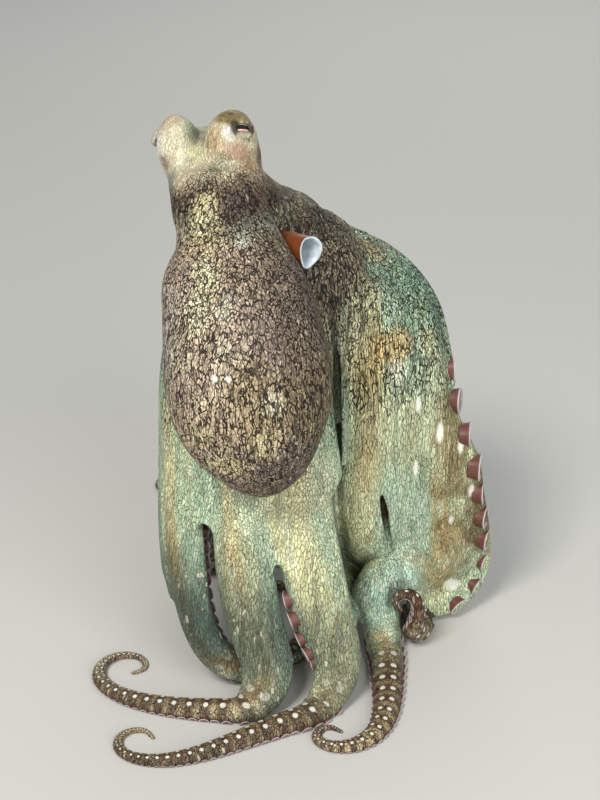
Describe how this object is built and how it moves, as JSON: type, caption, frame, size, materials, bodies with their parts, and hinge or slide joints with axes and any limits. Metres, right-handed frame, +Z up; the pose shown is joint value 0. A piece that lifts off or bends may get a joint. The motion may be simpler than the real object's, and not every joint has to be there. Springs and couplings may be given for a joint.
{
  "type": "day octopus model",
  "caption": "Life-size still model of a live day octopus, upright on its arms, mantle hanging behind the head, siphon out to one side.",
  "frame": {"origin": "middle of the bounding box's footprint, on the floor", "axes": "+Z up; the animal looks along +Y; its right side is +X; the mantle hangs towards -Y"},
  "size_m": [0.1842, 0.3378, 0.2598],
  "materials": {
    "body_skin": "satin",
    "head_skin": "satin",
    "arm_skin": "satin",
    "funnel": "gloss",
    "eye": "gloss"
  },
  "bodies": {
    "root": {"arm_L1_base": "arm_skin", "arm_L1_middle": "arm_skin", "arm_L1_tip": "arm_skin", "arm_L2_base": "arm_skin", "arm_L2_middle": "arm_skin", "arm_L2_tip": "arm_skin", "arm_L3_base": "arm_skin", "arm_L3_middle": "arm_skin", "arm_L3_tip": "arm_skin", "arm_L4_base": "arm_skin", "arm_L4_middle": "arm_skin", "arm_L4_tip": "arm_skin", "arm_R1_base": "arm_skin", "arm_R1_middle": "arm_skin", "arm_R1_tip": "arm_skin", "arm_R2_base": "arm_skin", "arm_R2_middle": "arm_skin", "arm_R2_tip": "arm_skin", "arm_R3_base": "arm_skin", "arm_R3_middle": "arm_skin", "arm_R3_tip": "arm_skin", "arm_R4_base": "arm_skin", "arm_R4_middle": "arm_skin", "arm_R4_tip": "arm_skin", "crown": "body_skin", "eye_L": "eye", "eye_R": "eye", "head": "head_skin", "mantle": "body_skin", "siphon": "funnel", "web_L1_L2": "arm_skin", "web_L2_L3": "arm_skin", "web_L3_L4": "arm_skin", "web_L4_R4": "arm_skin", "web_R1_L1": "arm_skin", "web_R2_R1": "arm_skin", "web_R3_R2": "arm_skin", "web_R4_R3": "arm_skin"}
  },
  "joints": []
}
